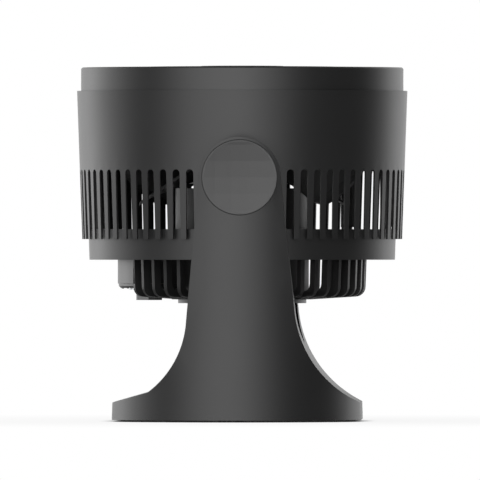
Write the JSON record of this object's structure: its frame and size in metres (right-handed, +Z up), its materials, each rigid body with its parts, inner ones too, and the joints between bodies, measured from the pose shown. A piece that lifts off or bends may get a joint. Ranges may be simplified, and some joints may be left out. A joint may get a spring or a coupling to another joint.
{
  "type": "air circulator fan",
  "caption": "Table air circulator: round slotted head with a vaned front grille and ribbed rear basket, tilting between the two arms of a flared oval stand.",
  "frame": {"origin": "on the floor, under the tilt axis, at the middle of the object's outline", "axes": "+Z up, the way the head blows at rest; +X the way the head turns to as it tilts down; Y along the tilt axis"},
  "size_m": [0.223, 0.2818, 0.2396],
  "materials": {
    "shell": "fine matte moulded grain",
    "inner_plastic": "satin moulded",
    "knob_plastic": "satin moulded",
    "rubber": "matte",
    "steel": "zinc plated, satin",
    "laminations": "stacked sheet",
    "copper": "enamelled wire",
    "bronze": "sintered",
    "pale_plastic": "smooth moulded"
  },
  "bodies": {
    "stand": {"stand_shell": "shell", "base_plate": "inner_plastic", "rubber_feet": "rubber", "base_screws": "steel", "pivot_cap_near": "shell", "pivot_cap_far": "shell", "spring_washer_near": "steel", "spring_washer_far": "steel"},
    "head": {"front_housing": "shell", "front_grille": "shell", "centre_cap": "shell", "rear_housing": "shell", "rear_cap": "shell", "control_panel": "shell", "air_duct": "inner_plastic", "motor_cover": "inner_plastic", "cord_gland": "rubber", "pivot_bolt_near": "steel", "pivot_bolt_far": "steel", "duct_screws": "steel", "housing_screws": "steel", "motor_front_bell": "steel", "motor_rear_bell": "steel", "motor_screws": "steel", "motor_nuts": "steel", "panel_screws": "steel", "switch_nut": "steel", "stator_core": "laminations", "stator_windings": "copper", "front_bush": "bronze", "rear_bush": "bronze", "pivot_insert_near": "bronze", "pivot_insert_far": "bronze", "friction_washer_near": "pale_plastic", "friction_washer_far": "pale_plastic", "rotary_switch": "pale_plastic", "terminal_block": "pale_plastic", "run_capacitor": "pale_plastic"},
    "fan": {"fan_blade": "inner_plastic", "blade_nut": "inner_plastic", "motor_shaft": "steel", "rotor_core": "laminations", "thrust_washers": "pale_plastic"},
    "knob": {"speed_knob": "knob_plastic", "switch_stem": "pale_plastic"}
  },
  "joints": [
    {"name": "head_tilt", "type": "hinge", "parent": "stand", "child": "head", "pos_m": [0, 0, 0.164], "axis": [0, 1, 0], "range_deg": [0, 90]},
    {"name": "blade_spin", "type": "hinge", "parent": "head", "child": "fan", "pos_m": [0, 0, 0.164], "axis": [0, 0, 1], "continuous": true},
    {"name": "knob_turn", "type": "hinge", "parent": "head", "child": "knob", "pos_m": [-0.0628, 0, 0.0856], "axis": [0, 0, -1], "range_deg": [0, 135]}
  ]
}
